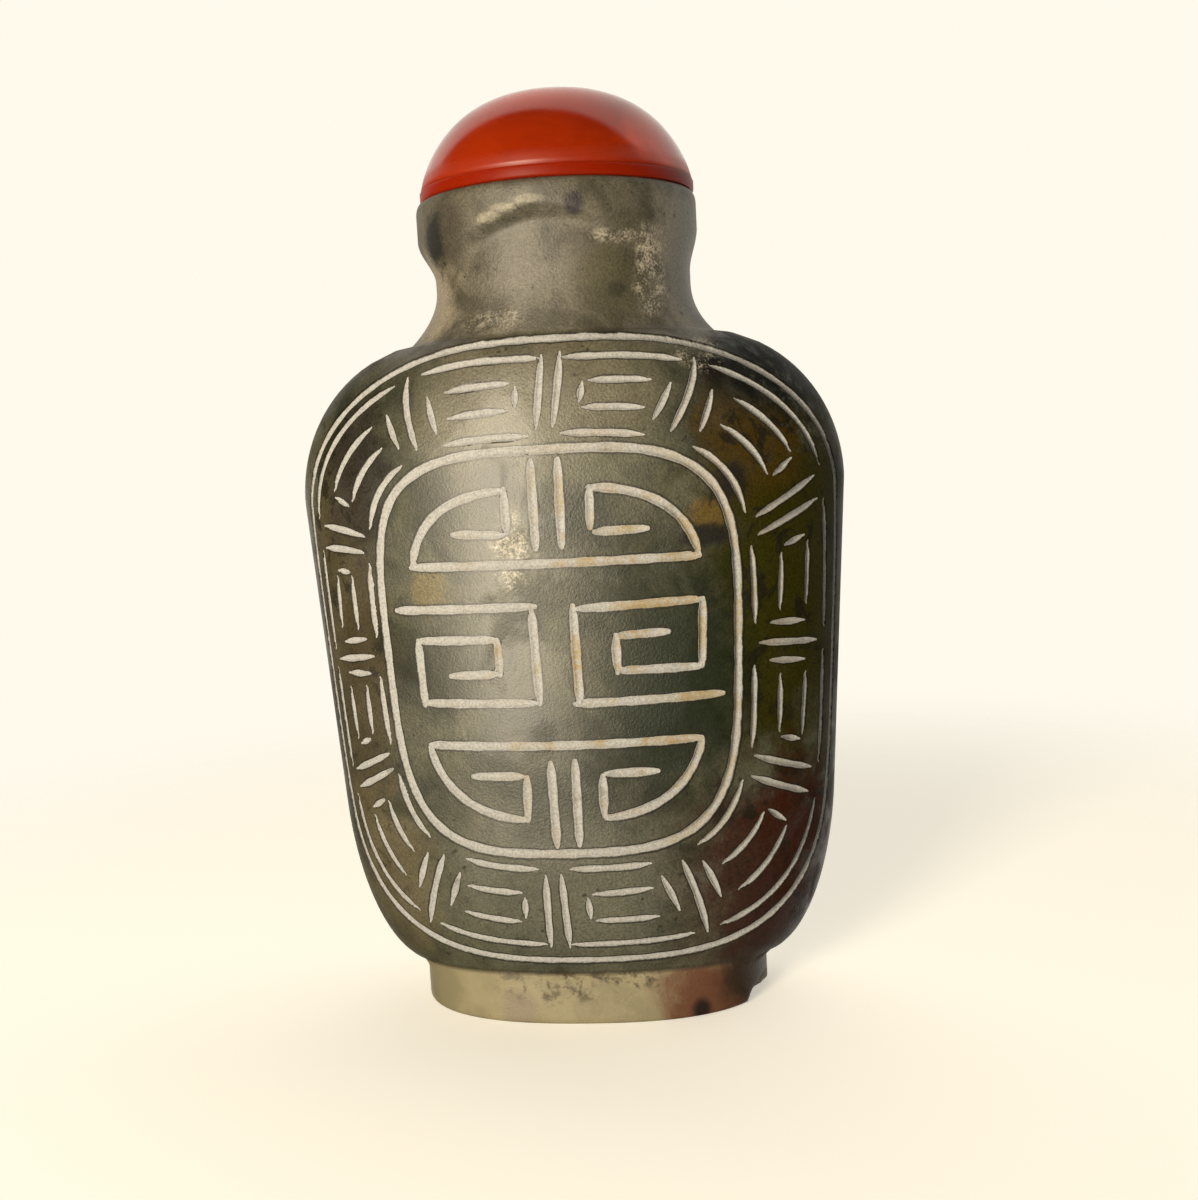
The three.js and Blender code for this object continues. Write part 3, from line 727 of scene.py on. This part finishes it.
def placeFactor(tree, place, centre, half, strength, ragged):
    away = addNode(tree, "ShaderNodeVectorMath", {"operation": "SUBTRACT"}, slot0=place,
                   slot1=tuple(c * mm for c in centre)).outputs[0]
    scaled = addNode(tree, "ShaderNodeVectorMath", {"operation": "DIVIDE"}, slot0=away,
                     slot1=tuple(h * mm for h in half)).outputs[0]
    reach = addNode(tree, "ShaderNodeVectorMath", {"operation": "LENGTH"}, slot0=scaled).outputs["Value"]
    uneven = maths(tree, "MULTIPLY_ADD", ragged, 1.5, maths(tree, "SUBTRACT", reach, 0.75))
    return spread(tree, uneven, 0.55, 1.25, strength, 0.0)


def newMaterial(name):
    material = bpy.data.materials.new(name)
    material.use_nodes = True
    tree = material.node_tree
    shader = next(n for n in tree.nodes if n.type == "BSDF_PRINCIPLED")
    return material, tree, shader


def jadeMaterial():
    material, tree, shader = newMaterial("jadeStone")
    place = addNode(tree, "ShaderNodeTexCoord").outputs["Object"]
    edge = addNode(tree, "ShaderNodeAttribute", {"attribute_name": "cutEdge"}).outputs["Fac"]
    cloud = noiseAt(tree, place, 170.0, 6.0, 0.62, 0.6)
    grain = noiseAt(tree, place, 900.0, 5.0, 0.65, 0.3)
    fleck = noiseAt(tree, place, 1700.0, 2.0, 0.5)
    ragged = noiseAt(tree, place, 320.0, 5.0, 0.65, 0.4)
    colour = blendColour(tree, spread(tree, cloud, 0.32, 0.7), jade["deep"], jade["pale"])
    colour = blendColour(tree, spread(tree, grain, 0.5, 0.75, 0.0, 0.55), colour, jade["mottle"])
    side, depth, height = addNode(tree, "ShaderNodeSeparateXYZ", vector=place).outputs
    unevenHeight = maths(tree, "MULTIPLY_ADD", ragged, 3.0 * mm, height)
    neckShare = spread(tree, unevenHeight, jade["neckFrom"] * mm, jade["neckTo"] * mm)
    neckColour = blendColour(tree, spread(tree, ragged, 0.38, 0.66), jade["neck"], jade["neckShade"])
    colour = blendColour(tree, neckShare, colour, neckColour)
    for tint, centre, half, strength in jade["places"]:
        border = grain if min(half) < 1.6 else ragged
        colour = blendColour(tree, placeFactor(tree, place, centre, half, strength, border), colour, tint)
    blotch = spread(tree, noiseAt(tree, place, 430.0, 6.0, 0.68, 0.5), 0.54, 0.62)
    for centre, half, strength in jade["blotched"]:
        flecked = maths(tree, "MULTIPLY", blotch, placeFactor(tree, place, centre, half, strength, ragged))
        colour = blendColour(tree, flecked, colour, jade["grime"])
    speckle = spread(tree, noiseAt(tree, place, 1100.0, 5.0, 0.7), 0.5, 0.66)
    speckle = maths(tree, "MULTIPLY", speckle, placeFactor(tree, place, *jade["speckled"], 0.8, ragged))
    colour = blendColour(tree, speckle, colour, jade["speckle"])
    colour = blendColour(tree, spread(tree, fleck, 0.66, 0.74, 0.0, 0.7), colour, jade["grime"])
    crumb = noiseAt(tree, place, 2600.0, 3.0, 0.7)
    powder = noiseAt(tree, place, 6500.0, 2.0, 0.6)
    colour = blendColour(tree, 1.0, colour, spread(tree, powder, 0.3, 0.7, 0.72, 1.28), "MULTIPLY")
    footShade = spread(tree, ragged, 0.4, 0.7, 0.0, 0.25)
    footColour = blendColour(tree, footShade, jade["foot"], jade["neckShade"])
    for tint, centre, half, strength in jade["footPlaces"]:
        patch = placeFactor(tree, place, centre, half, strength, ragged)
        footColour = blendColour(tree, patch, footColour, tint)
    rough = noiseAt(tree, place, 800.0, 6.0, 0.72, 0.3)
    smudge = placeFactor(tree, place, *jade["smudged"], 0.8, ragged)
    smudge = maths(tree, "MULTIPLY", smudge, spread(tree, rough, 0.46, 0.62))
    footColour = blendColour(tree, smudge, footColour, jade["footDirt"])
    overCrease = maths(tree, "MULTIPLY_ADD", maths(tree, "ABSOLUTE", depth), -jade["creaseRise"], height)
    crease, blur = jade["creaseLevel"], jade["creaseBlur"]
    inFoot = spread(tree, overCrease, (crease - blur) * mm, (crease + blur) * mm, 1.0, 0.0)
    colour = blendColour(tree, inFoot, colour, footColour)
    # painted shade: a thin dark line along the crease where the body meets the foot, standing in for the
    # shadow under the body's edge
    fromCrease = maths(tree, "ABSOLUTE", maths(tree, "SUBTRACT", overCrease, crease * mm))
    creaseShadeLine = spread(tree, fromCrease, 0.04 * mm, 0.3 * mm, 0.6, 0.0)
    colour = blendColour(tree, creaseShadeLine, colour, jade["footDirt"])
    roughOverPowder = maths(tree, "SUBTRACT", rough, powder)
    crusted = spread(tree, maths(tree, "MULTIPLY_ADD", roughOverPowder, 0.65, powder), 0.46, 0.62)
    for centre, half, strength in jade["crusts"]:
        patch = placeFactor(tree, place, centre, half, strength, ragged)
        dusty = maths(tree, "MULTIPLY", patch, crusted)
        colour = blendColour(tree, dusty, colour, jade["crust"])
    unevenEdge = maths(tree, "MULTIPLY_ADD", crumb, 0.24, maths(tree, "SUBTRACT", edge, 0.12))
    # painted shade: a thin dark line along both edges of every cut, standing in for the shadow of the
    # groove's walls
    fromShadeLine = maths(tree, "ABSOLUTE", maths(tree, "SUBTRACT", unevenEdge, 1.14))
    cutEdgeShade = spread(tree, fromShadeLine, 0.08, 0.3, 0.8, 0.0)
    colour = blendColour(tree, cutEdgeShade, colour, jade["grime"])
    worn = spread(tree, noiseAt(tree, place, 420.0, 4.0, 0.6), 0.25, 0.4, 0.6, 1.0)
    chalky = maths(tree, "MULTIPLY", spread(tree, unevenEdge, 0.84, 1.0, 1.0, 0.0), worn)
    chalkGrain = spread(tree, powder, 0.36, 0.6, 0.5, 0.0)
    chalkColour = blendColour(tree, chalkGrain, jade["chalk"], jade["chalkShade"])
    sideways = maths(tree, "MULTIPLY_ADD", side, 6.0, ragged)
    stain = spread(tree, crumb, 0.36, 0.56, 0.25, 0.85)
    stain = maths(tree, "MULTIPLY", stain, placeFactor(tree, place, *jade["stained"], 1.0, ragged))
    stained = maths(tree, "MULTIPLY", spread(tree, sideways, 0.47, 0.66), stain)
    chalkColour = blendColour(tree, stained, chalkColour, jade["ochre"])
    colour = blendColour(tree, chalky, colour, chalkColour)
    tree.links.new(colour, shader.inputs["Base Color"])
    frosted = spread(tree, noiseAt(tree, place, 120.0, 4.0, 0.6, 0.8), 0.44, 0.58)
    polish = spread(tree, frosted, 0.0, 1.0, jade["polished"], jade["frosted"], False)
    matte = maths(tree, "MAXIMUM", maths(tree, "MULTIPLY", chalky, 0.9),
                  maths(tree, "MULTIPLY", neckShare, jade["neckRough"]))
    tree.links.new(maths(tree, "MAXIMUM", polish, matte), shader.inputs["Roughness"])
    dull = [placeFactor(tree, place, *given, ragged) for given in jade["dull"]]
    shine = spread(tree, maths(tree, "MAXIMUM", *dull), 0.0, 1.0, 0.5, 0.02)
    tree.links.new(shine, shader.inputs["Specular IOR Level"])
    sparkle = noiseAt(tree, place, 6000.0, 2.0, 0.6)
    specks = maths(tree, "MULTIPLY", sparkle, maths(tree, "MULTIPLY_ADD", frosted, 0.6, 0.3))
    chalkRelief = maths(tree, "MULTIPLY", crumb, maths(tree, "MULTIPLY", chalky, 1.2))
    relief = maths(tree, "ADD", specks, chalkRelief)
    bump = addNode(tree, "ShaderNodeBump", strength=jade["bump"], distance=jade["bumpDepth"] * mm,
                   height=relief)
    tree.links.new(bump.outputs[0], shader.inputs["Normal"])
    shader.inputs["IOR"].default_value = jade["ior"]
    return material


# Stopper: a turned dome on a thin band, with a plug under it

stopperForm = {
    "shift": 0.12, "seat": 58.0, "top": 65.4,
    "bandRadius": 9.75, "bandHeight": 0.95, "bandBevel": 0.25, "crease": 0.12,
    "domeRadius": 9.82, "domeStart": 57.8, "fullness": 1.68, "roundness": 2.62,
    "plugRadius": 3.55, "plugLength": 5.0, "plugBevel": 0.5, "sides": 128, "domeRings": 44,
}


def stopperProfile():
    form = stopperForm
    seat, bandTop = form["seat"], form["seat"] + form["bandHeight"]
    foot = seat - form["plugLength"]
    rise = form["top"] - form["domeStart"]
    rings = [(0.02, foot), (form["plugRadius"] - form["plugBevel"], foot + 0.01),
             (form["plugRadius"], foot + form["plugBevel"]), (form["plugRadius"], seat - 0.3),
             (form["plugRadius"], seat - 0.01), (form["plugRadius"] + 0.3, seat),
             (form["bandRadius"] - form["bandBevel"] - 0.3, seat + 0.002)]
    rings += [(form["bandRadius"] - form["bandBevel"] * (1 - math.sin(a)),
               seat + 0.004 + form["bandBevel"] * (1 - math.cos(a)))
              for a in np.linspace(0, math.pi / 2, 6)]
    rings += [(form["bandRadius"], bandTop - form["crease"] - 0.1),
              (form["bandRadius"] - 0.02, bandTop - form["crease"] - 0.06),
              (form["bandRadius"] - 0.17, bandTop - form["crease"] * 0.6)]
    first = (bandTop - form["domeStart"]) / rise
    for angle in np.linspace(0, math.pi / 2, form["domeRings"]):
        share = min(first + (1 - first) * math.sin(angle), 0.99999)
        rings.append((form["domeRadius"] * (1 - share ** form["fullness"]) ** (1 / form["roundness"]),
                      form["domeStart"] + rise * share))
    return rings


def turningTree():
    # turns a profile, given as a line with a radius at each point, into a closed round piece
    tree, given, result = newTree("turnedPiece", (
        ("Sides", "NodeSocketInt"), ("Finish", "NodeSocketMaterial")))
    axis = addNode(tree, "GeometryNodeMeshToCurve", mesh=given.outputs["Geometry"])
    circle = addNode(tree, "GeometryNodeCurvePrimitiveCircle", {"mode": "RADIUS"}, radius=1.0,
                     resolution=given.outputs["Sides"])
    radius = addNode(tree, "GeometryNodeInputNamedAttribute", {"data_type": "FLOAT"}, name="ringRadius")
    skin = addNode(tree, "GeometryNodeCurveToMesh", curve=axis.outputs[0], profilecurve=circle.outputs[0],
                   scale=radius.outputs["Attribute"], fillcaps=True)
    whole = addNode(tree, "GeometryNodeRealizeInstances", geometry=skin.outputs[0])
    dressed = addNode(tree, "GeometryNodeSetMaterial", geometry=whole.outputs[0],
                      material=given.outputs["Finish"])
    tree.links.new(dressed.outputs[0], result.inputs[0])
    return tree


redStone = {
    "colour": (0.255, 0.017, 0.0), "cloud": (0.21, 0.012, 0.0), "rim": (0.185, 0.009, 0.0),
    # painted light: the dome's top and its right side get a brighter red, standing in for the light falling
    # on them
    "crown": (0.52, 0.045, 0.005), "crownFrom": 62.6, "crownSide": ((9.5, -2.0, 61.5), (4.0, 9.0, 3.4)),
    "roughness": 0.1, "rimRoughness": 0.42, "glow": 0.5, "glowDepth": 3.0, "glowRadius": (1.0, 0.25, 0.1),
    "rimLevels": (58.7, 59.2, 60.8), "ior": 1.55,   # full colour, end of colour, end of roughness
}


def redMaterial():
    material, tree, shader = newMaterial("redStopper")
    place = addNode(tree, "ShaderNodeTexCoord").outputs["Object"]
    cloud = noiseAt(tree, place, 210.0, 4.0, 0.55, 0.5)
    colour = blendColour(tree, spread(tree, cloud, 0.4, 0.7), redStone["colour"], redStone["cloud"])
    height = addNode(tree, "ShaderNodeSeparateXYZ", vector=place).outputs["Z"]
    # painted light: brighter red towards the dome's top and on its right side
    paintedLightTop = spread(tree, height, redStone["crownFrom"] * mm, stopperForm["top"] * mm)
    crown = maths(tree, "MAXIMUM", paintedLightTop, placeFactor(tree, place, *redStone["crownSide"], 0.8, cloud))
    colour = blendColour(tree, crown, colour, redStone["crown"])
    rimFrom, rimTo, rimFade = (level * mm for level in redStone["rimLevels"])
    rim = spread(tree, height, rimFrom, rimTo, 1.0, 0.0)
    colour = blendColour(tree, rim, colour, redStone["rim"])
    tree.links.new(colour, shader.inputs["Base Color"])
    smear = spread(tree, noiseAt(tree, place, 500.0, 5.0, 0.6), 0.4, 0.75, redStone["roughness"],
                   redStone["roughness"] + 0.1)
    nearRim = spread(tree, height, rimTo, rimFade, redStone["rimRoughness"], 0.0)
    tree.links.new(maths(tree, "MAXIMUM", smear, nearRim), shader.inputs["Roughness"])
    tree.links.new(spread(tree, rim, 0.0, 1.0, 0.5, 0.1), shader.inputs["Specular IOR Level"])
    shader.inputs["IOR"].default_value = redStone["ior"]
    shader.inputs["Subsurface Weight"].default_value = redStone["glow"]   # light soaks into the dome
    shader.inputs["Subsurface Scale"].default_value = redStone["glowDepth"] * mm
    shader.inputs["Subsurface Radius"].default_value = redStone["glowRadius"]
    return material


def makeBottle():
    footPlaces, footFaces = footPart()
    mesh = buildMesh("carvedBottle", [carvedPatch(False), carvedPatch(True), neckPart(),
                                      (chipped(footPlaces), footFaces), insidePart()])
    made = addObject("carved_bottle", mesh)
    guides = cutGuides()
    runTree(made, carvingTree(), {
        "Cut Guides": guides, "Floor Share": carving["floorShare"], "Stone": jadeMaterial()})
    settleNormals(made.data)
    bpy.data.objects.remove(guides)
    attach(made, "root")
    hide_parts("bottle")
    print("bottle:", len(made.data.vertices), "points", len(made.data.polygons), "faces")


def makeStopper():
    rings = stopperProfile()
    mesh = bpy.data.meshes.new("stopperAxis")
    mesh.from_pydata([(stopperForm["shift"] * mm, 0, level * mm) for _, level in rings],
                     [(i, i + 1) for i in range(len(rings) - 1)], [])
    radii = mesh.attributes.new("ringRadius", "FLOAT", "POINT")
    radii.data.foreach_set("value", [r * mm for r, _ in rings])
    made = addObject("domed_stopper", mesh)
    runTree(made, turningTree(), {"Sides": stopperForm["sides"], "Finish": redMaterial()})
    work = bmesh.new()
    work.from_mesh(made.data)
    bmesh.ops.remove_doubles(work, verts=work.verts, dist=1e-7)
    bmesh.ops.recalc_face_normals(work, faces=work.faces)
    for face in work.faces:
        face.smooth = len(face.verts) == 4
    work.to_mesh(made.data)
    work.free()
    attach(made, "root")
    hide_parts("stopper")
    print("stopper:", len(made.data.polygons), "faces")


# Camera, placed as the photograph was taken: lengths in millimetres, angles in degrees

cameraView = {
    "distance": 102.78, "aside": 1.56, "height": 40.48, "turn": 6.0, "tilt": 6.27, "roll": 3.09,
    "focalPixels": 1400.0, "imageWidth": 1198.0, "sensor": 36.0, "clipStart": 0.005,
}


def makeCamera():
    view = cameraView
    turn, tilt, roll = (math.radians(view[k]) for k in ("turn", "tilt", "roll"))
    side = Vector((math.cos(turn), math.sin(turn), 0))
    ahead = Vector((-math.sin(turn), math.cos(turn), 0))
    place = side * view["aside"] - ahead * view["distance"] + Vector((0, 0, view["height"]))
    look = ahead * math.cos(tilt) - Vector((0, 0, math.sin(tilt)))
    upright = side.cross(look)
    right = side * math.cos(roll) - upright * math.sin(roll)
    top = side * math.sin(roll) + upright * math.cos(roll)
    data = bpy.data.cameras.new("camera")
    data.sensor_fit = "HORIZONTAL"
    data.sensor_width = view["sensor"]
    data.lens = view["sensor"] * view["focalPixels"] / view["imageWidth"]
    data.clip_start = view["clipStart"]
    camera = bpy.data.objects.new("camera", data)
    axes = Matrix((right, top, -look)).transposed().to_4x4()
    camera.matrix_world = Matrix.Translation(place * mm) @ axes
    scene.collection.objects.link(camera)
    scene.camera = camera


# Studio: pale floor that fades into a pale surround, and one soft light

studio = {
    "floorColour": (0.90, 0.86, 0.76), "floorGlow": 0.48, "floorSolid": 0.05, "floorEnd": 0.13,
    "seen": (1.0, 0.955, 0.84), "bright": (1.0, 0.95, 0.86), "brightStrength": 1.0,
    "dark": (0.05, 0.045, 0.034), "darkWay": (-0.22, -0.92, -0.32), "darkFrom": -0.5, "darkTo": -0.36,
    "keyAngle": -22.0, "keyHeight": 0.03, "keyAway": 0.34, "keySize": (0.10, 0.34), "keyPower": 2.6,
    "keyColour": (1.0, 0.87, 0.67), "keyAim": 0.03,
}


def makeFloor():
    mesh = bpy.data.meshes.new("floor")
    end = studio["floorEnd"]
    mesh.from_pydata([(-end, -end, 0), (end, -end, 0), (end, end, 0), (-end, end, 0)], [], [(0, 1, 2, 3)])
    material, tree, shader = newMaterial("palePaper")
    place = addNode(tree, "ShaderNodeTexCoord").outputs["Object"]
    away = addNode(tree, "ShaderNodeVectorMath", {"operation": "LENGTH"}, slot0=place).outputs["Value"]
    shader.inputs["Base Color"].default_value = (*studio["floorColour"], 1)
    shader.inputs["Roughness"].default_value = 0.9
    shader.inputs["Emission Color"].default_value = (*studio["floorColour"], 1)
    shader.inputs["Emission Strength"].default_value = studio["floorGlow"]
    fade = spread(tree, away, studio["floorSolid"], studio["floorEnd"], 1.0, 0.0)
    tree.links.new(fade, shader.inputs["Alpha"])
    floor = addObject("floor", mesh, material)
    floor.visible_glossy = False   # the polished stone mirrors the surround, not the paper


def makeSurround():
    world = bpy.data.worlds.new("surround")
    world.use_nodes = True
    tree = world.node_tree
    tree.nodes.clear()
    way = addNode(tree, "ShaderNodeTexCoord").outputs["Generated"]
    toward = addNode(tree, "ShaderNodeVectorMath", {"operation": "DOT_PRODUCT"}, slot0=way,
                     slot1=Vector(studio["darkWay"]).normalized()).outputs["Value"]
    darkShare = spread(tree, toward, studio["darkFrom"], studio["darkTo"])
    colour = blendColour(tree, darkShare, studio["bright"], studio["dark"])
    lit = addNode(tree, "ShaderNodeBackground", color=colour, strength=studio["brightStrength"])
    seen = addNode(tree, "ShaderNodeBackground", color=(*studio["seen"], 1.0), strength=1.0)
    isSeen = addNode(tree, "ShaderNodeLightPath").outputs["Is Camera Ray"]
    either = addNode(tree, "ShaderNodeMixShader", slot0=isSeen, slot1=lit.outputs[0], slot2=seen.outputs[0])
    result = addNode(tree, "ShaderNodeOutputWorld")
    tree.links.new(either.outputs[0], result.inputs[0])
    scene.world = world


def makeKeyLight():
    angle = math.radians(studio["keyAngle"])
    data = bpy.data.lights.new("key", "AREA")
    data.shape = "RECTANGLE"
    data.size, data.size_y = studio["keySize"]
    data.energy = studio["keyPower"]
    data.color = studio["keyColour"]
    key = bpy.data.objects.new("key", data)
    away = studio["keyAway"]
    key.location = (math.sin(angle) * away, -math.cos(angle) * away, studio["keyHeight"])
    aim = Vector((0, 0, studio["keyAim"])) - key.location
    key.rotation_euler = aim.to_track_quat("-Z", "Y").to_euler()
    scene.collection.objects.link(key)


scene.view_settings.view_transform = "Standard"
makeCamera()
makeBottle()
makeStopper()
makeFloor()
makeSurround()
makeKeyLight()
print("studio: camera, floor, surround and key light")
